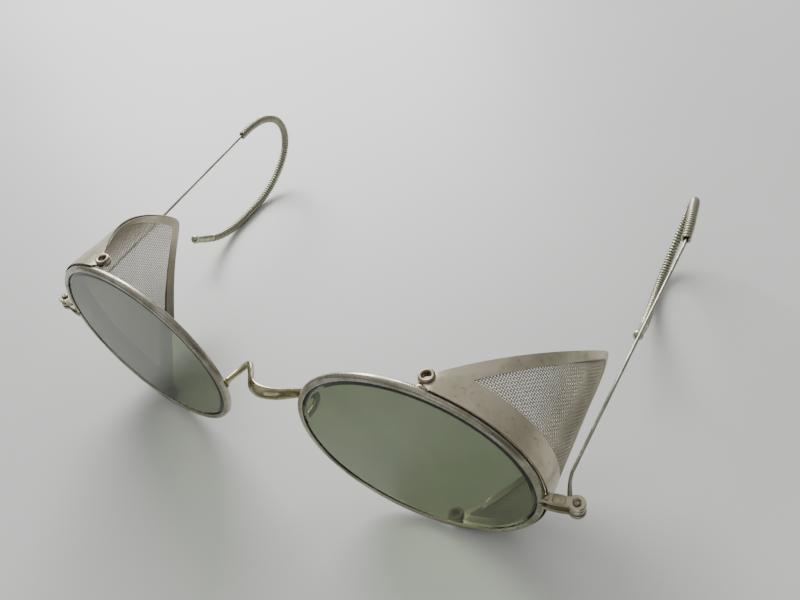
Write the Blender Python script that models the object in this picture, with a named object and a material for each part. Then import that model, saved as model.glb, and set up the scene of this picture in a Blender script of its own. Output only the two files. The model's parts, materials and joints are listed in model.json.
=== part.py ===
"""Side-shield glacier glasses: wire frame, tinted oval lenses, hinged mesh side shields, cable ear hooks.

Frame of the part: +X towards the wearer's left, +Y from the lenses back towards the ears, +Z up.
The origin is on the resting surface, below the middle of the outer box.  Left and right are the
wearer's.  All sizes are in metres; most constants are written in millimetres times MM.
"""
import math

import bmesh
import bpy
import numpy as np
from mathutils import Matrix, Vector

MM = 0.001

# ---- driving dimensions -------------------------------------------------------------------------
LENS_WIDTH = 44.5 * MM
LENS_HEIGHT = 38.4 * MM
LENS_THICKNESS = 1.3 * MM
LENS_BEVEL = 1.3 * MM            # the ground edge that sits in the rim's groove
LENS_EDGE = 0.4 * MM              # thickness left at the edge
LENS_SPACING = 64.7 * MM          # between the two lens centres
LENS_SWEEP = math.radians(4.6)    # the outer side of each lens is swept back
BOX_SHIFT_Y = 41.58 * MM          # from the lens line to the middle of the outer box
GAP = 0.25 * MM                   # between neighbouring pieces

RIM_OUT = 0.8 * MM                # rim section, measured out from the edge of the glass
RIM_IN = 0.4 * MM
RIM_HALF_DEPTH = 0.8 * MM
GROOVE_DEPTH = 0.3 * MM
SPLIT_HEIGHT = -0.7 * MM          # the rim is split here, on the temple side
SPLIT_WIDTH = 0.4 * MM

PIN_X = 28.0 * MM                 # hinge pin, from the lens centre, in the rim's own plane
PIN_Y = 0.55 * MM
EYE_RADIUS = 1.45 * MM
PLATE_HALF_WIDTH = 0.9 * MM
PLATE_LEAN = math.radians(8)      # the end plates run slightly forward to the rim
PLATE_THICKNESS = 0.7 * MM
TANG_THICKNESS = 0.8 * MM
TANG_LENGTH = 1.9 * MM
TANG_TURN = math.radians(130)      # from the hinge pin towards the temple wire
SCREW_RADIUS = 0.5 * MM
SCREW_HEAD_RADIUS = 0.85 * MM
SCREW_HEAD_HEIGHT = 0.4 * MM

SHIELD_A = 23.4 * MM              # half axes of the shield's oval section, middle of the sheet
SHIELD_B = 20.3 * MM
SHEET = 0.32 * MM
CLOTH = 0.28 * MM                 # thickness of the woven wire cloth
SHIELD_FRONT = 1.1 * MM
SHIELD_REACH = 31.9 * MM          # how far back the rounded point of the shield comes
POINT_ROUNDING = 0.9 * MM
WINDOW_FRONT = 5.3 * MM
WINDOW_REACH = 30.2 * MM
WINDOW_ROUNDING = 0.7 * MM
WINDOW_SLOPE = 1.09               # the window's slanting edges, against the sheet's own 45 degrees
CREASE_ANGLE = math.radians(76)   # beyond it the sheet runs level, as the ear
EAR_RADIUS = 1.45 * MM
PIVOT_X = 4.2 * MM                # shield pivot, from the lens centre towards the temple
PIVOT_Y = 2.55 * MM
EYELET_BORE = 0.62 * MM
EYELET_BARREL = 0.84 * MM
EYELET_FLANGE = 1.5 * MM
FLANGE_THICKNESS = 0.25 * MM
LUG_THICKNESS = 0.35 * MM

WIRE_RADIUS = 0.4 * MM
CORE_RADIUS = 0.36 * MM
CABLE_INNER = 0.62 * MM
CABLE_OUTER = 0.9 * MM
TIP_LENGTH = 7.0 * MM
TIP_SHAPE = [r * MM for r in (0.88, 0.9, 0.9, 0.9, 0.9, 0.92, 1.02, 1.1, 1.0, 0.4)]
CABLE_STEPS = 38

RIM_STEPS = 48
TUBE_SIDES = 8
CABLE_SIDES = 10

# The feet are the lower eyelets, so they set how high the lens centres stand.
CENTRE_HEIGHT = SHIELD_B * math.sin(CREASE_ANGLE) + SHEET / 2 + GAP + FLANGE_THICKNESS


# ---- materials ----------------------------------------------------------------------------------
def make_material(name, colour, metallic, roughness, alpha=1.0):
    material = bpy.data.materials.new(name)
    material.use_nodes = True
    shader = material.node_tree.nodes["Principled BSDF"]
    shader.inputs["Base Color"].default_value = (*colour, 1.0)
    shader.inputs["Metallic"].default_value = metallic
    shader.inputs["Roughness"].default_value = roughness
    shader.inputs["Alpha"].default_value = alpha
    material.diffuse_color = (*colour, alpha)
    return material


# ---- mesh helpers -------------------------------------------------------------------------------
def finish(bm, name, material, sharp=40):
    """Turn a bmesh into a named, smooth-shaded object."""
    bmesh.ops.recalc_face_normals(bm, faces=bm.faces)
    mesh = bpy.data.meshes.new(name)
    bm.to_mesh(mesh)
    bm.free()
    mesh.shade_smooth()
    mesh.set_sharp_from_angle(angle=math.radians(sharp))
    mesh.materials.append(material)
    obj = bpy.data.objects.new(name, mesh)
    bpy.context.scene.collection.objects.link(obj)
    return obj


def loft(rings, close_path=False):
    """Skin a list of equal point rings; open lofts get end caps."""
    bm = bmesh.new()
    loops = [[bm.verts.new(point) for point in ring] for ring in rings]
    pairs = list(zip(loops, loops[1:]))
    if close_path:
        pairs.append((loops[-1], loops[0]))
    for ring_a, ring_b in pairs:
        count = len(ring_a)
        for i in range(count):
            j = (i + 1) % count
            bm.faces.new((ring_a[i], ring_a[j], ring_b[j], ring_b[i]))
    if not close_path:
        bm.faces.new(loops[0])
        bm.faces.new(loops[-1])
    return bm


def turned(profile, steps=20, closed=False):
    """Spin a profile of (radius, height) points about Z."""
    angles = [math.tau * i / steps for i in range(steps)]
    rings = [[Vector((r * math.cos(a), r * math.sin(a), z)) for a in angles] for r, z in profile]
    return loft(rings, close_path=closed)


def holed_plate(outline, hole_radius, low, high):
    """A flat plate whose outline is given about the hole's axis, one point per equal angle."""
    count = len(outline)
    hole = [(hole_radius * math.cos(math.tau * i / count), hole_radius * math.sin(math.tau * i / count))
            for i in range(count)]
    rings = [[Vector((x, y, z)) for x, y in loop]
             for loop, z in ((outline, low), (outline, high), (hole, high), (hole, low))]
    return loft(rings, close_path=True)


def strap_outline(eye_radius, half_width, length, direction, count=32):
    """A round eye about the origin, and a strap from it that runs `length` towards `direction`."""
    points = []
    for i in range(count):
        angle = math.tau * i / count
        turn = math.remainder(angle - direction, math.tau)
        radius = eye_radius
        if math.cos(turn) > 0:
            strap = min(half_width / max(abs(math.sin(turn)), 1e-6), length / math.cos(turn))
            radius = max(radius, strap)
        points.append((radius * math.cos(angle), radius * math.sin(angle)))
    return points


def smooth_path(points, steps):
    """Points spread evenly along a smooth curve through `points`."""
    knots = [Vector(p) for p in points]
    knots = [2 * knots[0] - knots[1]] + knots + [2 * knots[-1] - knots[-2]]
    dense = []
    for a, b, c, d in zip(knots, knots[1:], knots[2:], knots[3:]):
        for i in range(12):
            t = i / 12
            dense.append(0.5 * (2 * b + (c - a) * t + (2 * a - 5 * b + 4 * c - d) * t * t
                                + (3 * b - a - 3 * c + d) * t ** 3))
    dense.append(knots[-2])
    lengths = np.cumsum([0.0] + [(q - p).length for p, q in zip(dense, dense[1:])])
    wanted = np.linspace(0.0, lengths[-1], steps)
    table = np.array([tuple(p) for p in dense])
    return [Vector([np.interp(w, lengths, table[:, k]) for k in range(3)]) for w in wanted]


def stretch(path, start, end, steps):
    """The part of a path between two lengths along it, as evenly spread points."""
    lengths = np.cumsum([0.0] + [(q - p).length for p, q in zip(path, path[1:])])
    table = np.array([tuple(p) for p in path])
    wanted = np.linspace(start, end, steps)
    return [Vector([np.interp(w, lengths, table[:, k]) for k in range(3)]) for w in wanted]


def path_length(path):
    return sum((q - p).length for p, q in zip(path, path[1:]))


def path_frames(path):
    """For each path point, two unit vectors across the path that turn as little as they can."""
    tangents = []
    for i in range(len(path)):
        ahead = path[min(i + 1, len(path) - 1)]
        behind = path[max(i - 1, 0)]
        tangents.append((ahead - behind).normalized())
    side = tangents[0].orthogonal().normalized()
    frames = []
    for tangent in tangents:
        side = (side - tangent * side.dot(tangent)).normalized()
        frames.append((side, tangent.cross(side)))
    return frames


def tube_rings(path, radii, sides=TUBE_SIDES):
    rings = []
    for point, (side, other), radius in zip(path, path_frames(path), radii):
        rings.append([point + radius * (math.cos(math.tau * i / sides) * side
                                        + math.sin(math.tau * i / sides) * other)
                      for i in range(sides)])
    return rings


def boolean(obj, other, operation):
    """Leave a Boolean on `obj`; the other object is only a guide."""
    modifier = obj.modifiers.new(operation.lower(), "BOOLEAN")
    modifier.operation = operation
    modifier.solver = "EXACT"
    modifier.object = other
    other.hide_render = True
    other.display_type = "WIRE"


# ---- places -------------------------------------------------------------------------------------
def place_empty(name, location, turn=0.0):
    empty = bpy.data.objects.new(name, None)
    empty.empty_display_size = 0.005
    bpy.context.scene.collection.objects.link(empty)
    empty.location = location
    empty.rotation_euler = (0, 0, turn)
    return empty


def lens_matrix(side):
    """From a lens's own frame (X towards the temple, Y back, Z up) to the part's frame."""
    flip = Matrix.Diagonal((side, 1, 1, 1))
    place = Matrix.Translation((side * LENS_SPACING / 2, -BOX_SHIFT_Y, CENTRE_HEIGHT))
    return place @ flip @ Matrix.Rotation(LENS_SWEEP, 4, "Z")


def in_place(obj, matrix, pivot=None):
    """Move a mesh into the part's frame, with its origin on `pivot` and parented to that empty."""
    obj.data.transform(matrix)
    if matrix.determinant() < 0:
        obj.data.flip_normals()
    if pivot:
        obj.data.transform(Matrix.Translation(-pivot.location))
        obj.parent = pivot
    return obj


def world(points):
    """Points given as (x, back from the lens line, above the lens centres), in millimetres."""
    return [Vector((x * MM, y * MM - BOX_SHIFT_Y, z * MM + CENTRE_HEIGHT)) for x, y, z in points]


# ---- rim and lens -------------------------------------------------------------------------------
def oval(angle, offset):
    """A point `offset` outside the edge of the glass, in the lens plane."""
    a, b = LENS_WIDTH / 2, LENS_HEIGHT / 2
    normal = Vector((math.cos(angle) / a, 0, math.sin(angle) / b)).normalized()
    return Vector((a * math.cos(angle), 0, b * math.sin(angle))) + offset * normal


def rim_profile():
    """Rim section as (outwards, back) points: round outside, a groove for the glass inside."""
    half_turn = [math.radians(t) for t in range(-90, 91, 36)]
    outer = [((RIM_OUT - 0.2 * MM) * max(math.cos(t), 0) + 0.2 * MM, RIM_HALF_DEPTH * math.sin(t))
             for t in half_turn]
    lip = 0.55 * RIM_HALF_DEPTH
    groove = [(-RIM_IN, RIM_HALF_DEPTH * 0.9), (-RIM_IN, lip), (GROOVE_DEPTH, 0.4 * RIM_HALF_DEPTH),
              (GROOVE_DEPTH, -0.4 * RIM_HALF_DEPTH), (-RIM_IN, -lip), (-RIM_IN, -RIM_HALF_DEPTH * 0.9)]
    return outer + groove


def make_rim(name, material):
    half_split = SPLIT_WIDTH / LENS_HEIGHT
    start = math.asin(SPLIT_HEIGHT / (LENS_HEIGHT / 2)) + half_split
    sweep = math.tau - 2 * half_split
    rings = []
    for i in range(RIM_STEPS + 1):
        angle = start + sweep * i / RIM_STEPS
        rings.append([oval(angle, out) + Vector((0, back, 0)) for out, back in rim_profile()])
    return finish(loft(rings), name, material)


def make_lens(name, material):
    half = LENS_THICKNESS / 2
    edge = LENS_EDGE / 2
    levels = [(-LENS_BEVEL, -half), (0, -edge), (0, edge), (-LENS_BEVEL, half)]
    rings = [[oval(math.tau * i / RIM_STEPS, out) + Vector((0, back, 0)) for i in range(RIM_STEPS)]
             for out, back in levels]
    return finish(loft(rings), name, material)


# ---- end piece ----------------------------------------------------------------------------------
def end_plate(name, material, low):
    """A strap from the rim to the hinge pin, with the pin's hole."""
    length = PIN_X - LENS_WIDTH / 2 - RIM_OUT - GAP
    outline = strap_outline(EYE_RADIUS, PLATE_HALF_WIDTH, length, math.pi + PLATE_LEAN)
    bm = holed_plate(outline, SCREW_RADIUS + GAP, low, low + PLATE_THICKNESS)
    bmesh.ops.translate(bm, verts=bm.verts, vec=(PIN_X, PIN_Y, 0))
    return finish(bm, name, material, sharp=30)


def hinge_screw(name, material, plate_low, plate_high):
    base = plate_high + GAP
    top = base + SCREW_HEAD_HEIGHT
    head = SCREW_HEAD_RADIUS
    foot = plate_low + 0.05 * MM
    profile = [(SCREW_RADIUS, foot), (SCREW_RADIUS, base), (head, base), (head, top - 0.15 * MM),
               (head - 0.2 * MM, top)]
    bm = turned(profile)
    bmesh.ops.translate(bm, verts=bm.verts, vec=(PIN_X, PIN_Y, 0))
    return finish(bm, name, material, sharp=30)


# ---- shield -------------------------------------------------------------------------------------
def section_table():
    """Arc length against angle along the shield's oval section, from the temple side up."""
    angles = np.linspace(0, CREASE_ANGLE, 200)
    xs = SHIELD_A * np.cos(angles)
    zs = SHIELD_B * np.sin(angles)
    steps = np.hypot(np.diff(xs), np.diff(zs))
    return np.concatenate([[0], np.cumsum(steps)]), angles


ARC, ARC_ANGLES = section_table()
CREASE_ARC = float(ARC[-1])
PIVOT_ARC = CREASE_ARC + SHIELD_A * math.cos(CREASE_ANGLE) - PIVOT_X
EAR_HEIGHT = SHIELD_B * math.sin(CREASE_ANGLE)


def sheet_point(arc, back, offset):
    """A point of the curved sheet: `arc` round the section, `back` along it, `offset` outwards."""
    upward = math.copysign(1, arc)
    run = abs(arc)
    if run <= CREASE_ARC:
        angle = float(np.interp(run, ARC, ARC_ANGLES))
        normal = Vector((math.cos(angle) / SHIELD_A, 0, math.sin(angle) / SHIELD_B)).normalized()
        point = Vector((SHIELD_A * math.cos(angle), 0, SHIELD_B * math.sin(angle))) + offset * normal
    else:
        point = Vector((PIVOT_X + PIVOT_ARC - run, 0, EAR_HEIGHT + offset))
    return Vector((point.x, back, upward * point.z))


def slant(arc, reach, rounding, slope=1.0):
    """Two slanting edges, 45 degrees at slope 1, that meet in a rounded point."""
    return reach + rounding - math.hypot(slope * arc, rounding)


def ear_half_height(arc):
    beyond = abs(arc) - PIVOT_ARC
    return math.sqrt(max(EAR_RADIUS ** 2 - beyond ** 2, 0))


def sheet_span(arc):
    """Front and back edge of the sheet at one place round its section."""
    run = abs(arc)
    if run >= PIVOT_ARC:
        half = ear_half_height(arc)
        return PIVOT_Y - half, PIVOT_Y + half
    back = slant(arc, SHIELD_REACH, POINT_ROUNDING)
    near_ear = PIVOT_Y + EAR_RADIUS
    return min(SHIELD_FRONT, PIVOT_Y - EAR_RADIUS), max(back, near_ear)


def window_span(arc, clearance=0.0):
    back = slant(arc, WINDOW_REACH, WINDOW_ROUNDING, WINDOW_SLOPE)
    return WINDOW_FRONT + clearance, back - 1.5 * clearance


def window_half_arc(clearance=0.0):
    drop = WINDOW_REACH + WINDOW_ROUNDING - WINDOW_FRONT - 2.5 * clearance
    return math.sqrt(drop ** 2 - WINDOW_ROUNDING ** 2) / WINDOW_SLOPE


def curved_panel(arcs, span, rows, inner, outer):
    """A closed solid panel of the curved sheet between two offsets."""
    rings = []
    for arc in arcs:
        front, back = span(arc)
        levels = [front + (back - front) * i / rows for i in range(rows + 1)]
        rings.append([sheet_point(arc, y, outer) for y in levels]
                     + [sheet_point(arc, y, inner) for y in reversed(levels)])
    return loft(rings)


def spread(end, inner_steps, extra=()):
    """Places round the section, mirrored about its middle."""
    half = list(np.linspace(0, end, inner_steps)) + list(extra)
    half = sorted(set(round(float(a), 7) for a in half))
    return [-a for a in reversed(half)] + half[1:]


def make_shield_sheet(name, material):
    ear = [PIVOT_ARC + EAR_RADIUS * math.sin(math.radians(t)) for t in (0, 25, 50, 68, 82)]
    arcs = spread(CREASE_ARC, 22, extra=[CREASE_ARC + 0.9 * MM] + ear)
    sheet = finish(curved_panel(arcs, sheet_span, 3, -SHEET / 2, SHEET / 2), name, material, sharp=30)
    cut_arcs = spread(window_half_arc() - 0.02 * MM, 20)
    window = finish(curved_panel(cut_arcs, window_span, 2, -1.5 * MM, 1.5 * MM), name + "_cutter", material)
    boolean(sheet, window, "DIFFERENCE")
    holes = []
    for upward in (1, -1):
        hole = turned([(EYELET_BARREL + GAP, -1 * MM), (EYELET_BARREL + GAP, 1 * MM)])
        bmesh.ops.translate(hole, verts=hole.verts, vec=(PIVOT_X, PIVOT_Y, upward * EAR_HEIGHT))
        holes.append(finish(hole, f"{name}_hole_{upward}", material))
        boolean(sheet, holes[-1], "DIFFERENCE")
    return sheet, [window] + holes


def make_mesh_panel(name, material):
    arcs = spread(window_half_arc(GAP) - 0.1 * MM, 18)
    bm = curved_panel(arcs, lambda arc: window_span(arc, GAP), 2, -CLOTH / 2, CLOTH / 2)
    return finish(bm, name, material, sharp=30)


def make_lug(name, material, upward):
    """A small level plate behind the rim that carries the shield's eyelet."""
    length = PIVOT_Y - RIM_HALF_DEPTH - GAP
    outline = strap_outline(EAR_RADIUS - 0.1 * MM, EAR_RADIUS - 0.1 * MM, length, -math.pi / 2)
    top = EAR_HEIGHT - SHEET / 2 - GAP
    bm = holed_plate(outline, EYELET_BARREL + GAP, top - LUG_THICKNESS, top)
    bmesh.ops.translate(bm, verts=bm.verts, vec=(PIVOT_X, PIVOT_Y, 0))
    if upward < 0:
        bmesh.ops.scale(bm, vec=(1, 1, -1), verts=bm.verts)
    return finish(bm, name, material, sharp=30)


def make_eyelet(name, material, upward):
    """A hollow rivet through the ear and the lug, rolled over at both ends."""
    top = EAR_HEIGHT + SHEET / 2 + GAP
    low = EAR_HEIGHT - SHEET / 2 - 2 * GAP - LUG_THICKNESS
    barrel, flange, thick = EYELET_BARREL, EYELET_FLANGE, FLANGE_THICKNESS
    profile = [(EYELET_BORE, low - thick), (flange, low - thick), (flange, low), (barrel, low),
               (barrel, top), (flange, top), (flange, top + thick), (EYELET_BORE, top + thick)]
    bm = turned(profile, closed=True)
    bmesh.ops.translate(bm, verts=bm.verts, vec=(PIVOT_X, PIVOT_Y, 0))
    if upward < 0:
        bmesh.ops.scale(bm, vec=(1, 1, -1), verts=bm.verts)
    return finish(bm, name, material, sharp=30)


# ---- temple -------------------------------------------------------------------------------------
# The wire's route as (x, back from the lens line, above the lens centres), in millimetres.
WIRE_ROUTE = [(58.9, 3.3, -0.7), (57.9, 5.3, -0.6), (57.2, 7.6, -0.4), (57.1, 11.0, -0.2),
              (57.05, 36.0, 1.2), (57.0, 62.7, 2.6)]
HOOK_ROUTE = {
    "left": [(57.0, 62.7, 2.6), (56.3, 67.7, 2.8), (55.3, 72.9, 2.0), (53.9, 79.0, -0.8),
             (52.5, 83.2, -4.8), (51.2, 84.9, -9.4), (50.2, 83.0, -14.0), (49.7, 78.4, -17.6),
             (49.8, 72.2, -19.4), (50.6, 65.6, -18.9), (51.6, 59.4, -16.7), (52.7, 53.4, -13.6),
             (53.5, 47.6, -10.3)],
    "right": [(57.0, 62.7, 2.6), (57.1, 68.2, 2.6), (57.3, 73.6, 1.2), (57.7, 77.9, -2.4),
              (58.1, 79.2, -7.5), (58.4, 77.0, -12.6), (58.6, 71.9, -16.6), (58.7, 65.3, -18.9),
              (58.7, 58.4, -19.4), (58.7, 52.0, -19.1), (58.7, 46.4, -17.6), (58.7, 41.8, -14.9),
              (58.7, 38.3, -12.1)],
}


def make_tang(name, material):
    """The flat eye at the wire's front end, which turns on the hinge screw."""
    outline = strap_outline(EYE_RADIUS - 0.1 * MM, PLATE_HALF_WIDTH, TANG_LENGTH, TANG_TURN)
    half = TANG_THICKNESS / 2
    bm = holed_plate(outline, SCREW_RADIUS + GAP, SPLIT_HEIGHT - half, SPLIT_HEIGHT + half)
    bmesh.ops.translate(bm, verts=bm.verts, vec=(PIN_X, PIN_Y, 0))
    return finish(bm, name, material)


def temple_pieces(side_name, side, pivot, metal, cable_metal):
    """Wire with its flat hinge eye, coiled ear cable over the wire's thin end, and the tip."""
    mirror = [(side * x, y, z) for x, y, z in WIRE_ROUTE]
    hook = [(side * x, y, z) for x, y, z in HOOK_ROUTE[side_name]]
    straight = smooth_path(world(mirror), 26)
    curl = smooth_path(world(hook), 200)
    cable_end = path_length(curl) - TIP_LENGTH - GAP
    core = stretch(curl, 0.8 * MM, cable_end, CABLE_STEPS)
    radii = [WIRE_RADIUS] * len(straight) + [CORE_RADIUS] * len(core)
    wire = finish(loft(tube_rings(straight + core, radii)), f"{side_name}_temple_wire", metal)
    tang = make_tang(f"{side_name}_tang", metal)
    in_place(tang, lens_matrix(side), pivot)
    in_place(wire, Matrix.Identity(4), pivot)
    boolean(wire, tang, "UNION")

    outer = tube_rings(core, [CABLE_OUTER] * len(core), CABLE_SIDES)
    inner = tube_rings(core, [CABLE_INNER] * len(core), CABLE_SIDES)
    cable = finish(loft(outer + inner[::-1], close_path=True), f"{side_name}_ear_cable", cable_metal)
    in_place(cable, Matrix.Identity(4), pivot)

    tip_path = stretch(curl, path_length(curl) - TIP_LENGTH, path_length(curl), len(TIP_SHAPE))
    tip = finish(loft(tube_rings(tip_path, TIP_SHAPE, CABLE_SIDES)), f"{side_name}_ear_tip", metal)
    in_place(tip, Matrix.Identity(4), pivot)


# ---- bridge -------------------------------------------------------------------------------------
BRIDGE_ROUTE = [(9.85, -0.68, -0.2), (9.5, 2.4, -0.6), (8.45, 4.6, -0.3), (6.2, 2.75, 0.5), (3.0, -0.3, 2.0)]
BRIDGE_CREST = (0.0, -1.35, 2.6)
BRIDGE_END_RADIUS = 0.62 * MM
BRIDGE_CREST_RADIUS = 0.92 * MM


def make_bridge(material):
    mirrored = [(-x, y, z) for x, y, z in reversed(BRIDGE_ROUTE)]
    path = smooth_path(world(BRIDGE_ROUTE + [BRIDGE_CREST] + mirrored), 41)
    radii = []
    for i in range(len(path)):
        across = abs(2 * i / (len(path) - 1) - 1)
        blend = 0.5 + 0.5 * math.cos(math.pi * across)
        radii.append(BRIDGE_END_RADIUS + (BRIDGE_CREST_RADIUS - BRIDGE_END_RADIUS) * blend)
    return finish(loft(tube_rings(path, radii, 10)), "bridge", material)


# ---- assembly -----------------------------------------------------------------------------------
def build_side(side_name, side, metals):
    matrix = lens_matrix(side)
    plate_low = SPLIT_HEIGHT - TANG_THICKNESS / 2 - GAP - PLATE_THICKNESS
    plate_high = SPLIT_HEIGHT + TANG_THICKNESS / 2 + GAP
    hinge = place_empty(f"{side_name}_hinge_axis", matrix @ Vector((PIN_X, PIN_Y, 0)))
    swing = place_empty(f"{side_name}_shield_axis", matrix @ Vector((PIVOT_X, PIVOT_Y, 0)))

    in_place(make_rim(f"{side_name}_rim", metals["frame"]), matrix)
    in_place(make_lens(f"{side_name}_lens", metals["glass"]), matrix)
    in_place(end_plate(f"{side_name}_upper_end_plate", metals["frame"], plate_high), matrix)
    in_place(end_plate(f"{side_name}_lower_end_plate", metals["frame"], plate_low), matrix)
    screw = hinge_screw(f"{side_name}_hinge_screw", metals["screw"], plate_low, plate_high + PLATE_THICKNESS)
    in_place(screw, matrix)
    for level, upward in (("top", 1), ("bottom", -1)):
        in_place(make_lug(f"{side_name}_{level}_lug", metals["frame"], upward), matrix)
        in_place(make_eyelet(f"{side_name}_{level}_eyelet", metals["brass"], upward), matrix)

    sheet, guides = make_shield_sheet(f"{side_name}_shield_frame", metals["sheet"])
    for piece in [sheet, make_mesh_panel(f"{side_name}_shield_mesh", metals["mesh"])] + guides:
        in_place(piece, matrix, swing)
    temple_pieces(side_name, side, hinge, metals["frame"], metals["cable"])


def main():
    for obj in list(bpy.data.objects):
        bpy.data.objects.remove(obj, do_unlink=True)
    metals = {
        "frame": make_material("nickel_silver", (0.62, 0.58, 0.47), 1.0, 0.3),
        "sheet": make_material("satin_sheet", (0.58, 0.54, 0.44), 1.0, 0.42),
        "mesh": make_material("wire_cloth", (0.45, 0.42, 0.35), 1.0, 0.5),
        "cable": make_material("coiled_cable", (0.5, 0.48, 0.42), 1.0, 0.38),
        "brass": make_material("rolled_eyelet", (0.6, 0.5, 0.33), 1.0, 0.35),
        "screw": make_material("dark_screw", (0.28, 0.25, 0.2), 1.0, 0.45),
        "glass": make_material("smoked_glass", (0.2, 0.24, 0.17), 0.0, 0.08, alpha=0.6),
    }
    make_bridge(metals["frame"])
    build_side("left", 1, metals)
    build_side("right", -1, metals)


main()
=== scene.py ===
"""Looks for side-shield glacier glasses: worn nickel silver, smoked glass and woven wire cloth.

Everything is in the row frame: metres, +X towards the wearer's left, +Y from the lenses back to
the ears, +Z up.  Left and right are the wearer's.  Sizes are written in millimetres times MM.
"""
import json
import math

import bmesh
import bpy
import numpy as np
from mathutils import Matrix, Vector, noise

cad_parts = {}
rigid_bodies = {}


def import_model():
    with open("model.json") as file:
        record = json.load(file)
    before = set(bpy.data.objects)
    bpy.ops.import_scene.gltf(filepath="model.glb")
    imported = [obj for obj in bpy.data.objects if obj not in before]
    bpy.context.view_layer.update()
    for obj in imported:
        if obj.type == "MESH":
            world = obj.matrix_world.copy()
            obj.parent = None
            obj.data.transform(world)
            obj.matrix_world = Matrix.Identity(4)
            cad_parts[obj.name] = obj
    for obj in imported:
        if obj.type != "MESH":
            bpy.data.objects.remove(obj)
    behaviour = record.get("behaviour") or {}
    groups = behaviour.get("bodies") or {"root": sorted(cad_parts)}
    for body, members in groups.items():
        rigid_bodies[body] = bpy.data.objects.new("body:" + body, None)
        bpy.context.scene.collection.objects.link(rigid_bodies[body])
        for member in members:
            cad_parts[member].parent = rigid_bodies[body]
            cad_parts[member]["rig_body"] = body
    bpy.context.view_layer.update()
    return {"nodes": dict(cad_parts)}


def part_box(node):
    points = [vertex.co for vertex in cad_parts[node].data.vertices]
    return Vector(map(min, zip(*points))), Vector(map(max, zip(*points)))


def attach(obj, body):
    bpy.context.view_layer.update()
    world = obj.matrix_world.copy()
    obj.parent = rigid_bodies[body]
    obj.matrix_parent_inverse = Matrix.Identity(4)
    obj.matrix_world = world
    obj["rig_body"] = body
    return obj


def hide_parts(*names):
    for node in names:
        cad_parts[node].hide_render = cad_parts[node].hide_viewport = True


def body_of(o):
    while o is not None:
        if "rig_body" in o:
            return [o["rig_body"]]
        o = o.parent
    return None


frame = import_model()

MM = 0.001
SIDES = {"left": 1, "right": -1}

# ---- the object's own sizes ----------------------------------------------------------------------
LENS_WIDTH = 44.5 * MM
LENS_HEIGHT = 38.4 * MM
LENS_SWEEP = math.radians(4.6)    # the outer side of each lens is swept back
LENS_HALF_EDGE = 0.2 * MM         # half the thickness of the glass at its edge
LENS_HALF_THICKNESS = 0.64 * MM   # and over the rest of it
LENS_BEVEL = 1.2 * MM
LENS_PLAY = 0.03 * MM             # between the edge of the glass and the oval it is set out on
RIM_OUT = 0.8 * MM                # rim section, measured out from the edge of the glass
RIM_IN = 0.4 * MM
RIM_HALF_DEPTH = 0.8 * MM
RIM_BULGE = 0.15 * MM             # the round outside is centred this far out from the glass's edge
LIP_RADIUS = 0.32 * MM            # the two rounded lips that hold the glass
GROOVE_DEPTH = 0.2 * MM
GROOVE_HALF_WIDTH = 0.3 * MM
SPLIT_HEIGHT = -0.7 * MM          # the rim is split here, on the temple side
SPLIT_WIDTH = 0.4 * MM
RIM_WANDER = 0.035 * MM           # how far the hand-bent rim strays from a true oval

PIN_X = 28.0 * MM                 # hinge pin, from the lens centre, in the rim's own plane
PIN_Y = 0.55 * MM
EYE_RADIUS = 1.45 * MM
PLATE_HALF_WIDTH = 0.9 * MM
PLATE_LEAN = math.radians(8)
PLATE_THICKNESS = 0.7 * MM
TANG_THICKNESS = 0.8 * MM
HINGE_GAP = 0.25 * MM             # between the plates and the tang
SCREW_RADIUS = 0.5 * MM
SCREW_HEAD_RADIUS = 0.68 * MM
SCREW_HEAD_HEIGHT = 0.32 * MM
SCREW_PLAY = 0.12 * MM            # between the screw and the holes it passes through
TANG_LENGTH = 1.9 * MM
TANG_TURN = math.atan2(1.6, -1.35)    # from the hinge pin towards the temple wire
PLATE_EASE = 0.12 * MM            # size of the rounded edges of flat plates
SOLDER_BITE = 0.5 * MM            # how far a soldered end reaches into the rim
LEAF_SOLDER = (0.75 * MM, 0.95 * MM, 0.62 * PLATE_THICKNESS)    # half sizes of the puddles of solder
LUG_SOLDER = (1.5 * MM, 0.5 * MM, 0.5 * MM)
BLOCK_PLACE = -2.75 * MM          # the closing block, from the hinge pin along the strap
BLOCK_HALF_LONG = 1.05 * MM
BLOCK_HALF_WIDE = 0.82 * MM
BLOCK_RISE = 0.36 * MM

SHIELD_A = 23.4 * MM              # half axes of the shield's oval section
SHIELD_B = 20.3 * MM
SHIELD_FRONT = 0.3 * MM           # laps over the back of the rim, and cuts into the hinge leaves
SHIELD_REACH = 31.3 * MM
POINT_ROUNDING = 1.5 * MM
WINDOW_FRONT = 5.3 * MM
WINDOW_REACH = 29.6 * MM
WINDOW_ROUNDING = 1.3 * MM
WINDOW_SLOPE = 1.09               # the window's slanting edges, against the sheet's own 45 degrees
CREASE_ANGLE = math.radians(76)   # beyond it the sheet runs level, as the ear
CREASE_HALF = 0.16 * MM           # half the width of the bend itself
EAR_RADIUS = 1.45 * MM
EAR_LEVEL = 0.16 * MM             # the ear's outer face, above the middle of the sheet
PIVOT_X = 4.2 * MM                # shield pivot, from the lens centre towards the temple
PIVOT_Y = 2.55 * MM
SKIN_OUTER = 0.16 * MM            # faces of the outer skin, from the middle of the sheet
SKIN_INNER = 0.0 * MM
HEM_OUTER = -0.27 * MM            # faces of the hem folded over the cloth on the inside
HEM_INNER = -0.4 * MM
HEM_REACH = 28.9 * MM             # how far back the hem's own inner edge comes
HEM_ROUNDING = 1.2 * MM
HEM_SETBACK = 0.16 * MM           # the front hem starts this far behind the skin's front edge
HEM_FRONT_END = 3.1 * MM          # where the front hem ends
HEM_REAR_START = 3.6 * MM         # the rear hem never comes further forward than this
HEM_INSET = 0.15 * MM             # the rear hem stops this far inside the skin's point
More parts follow.
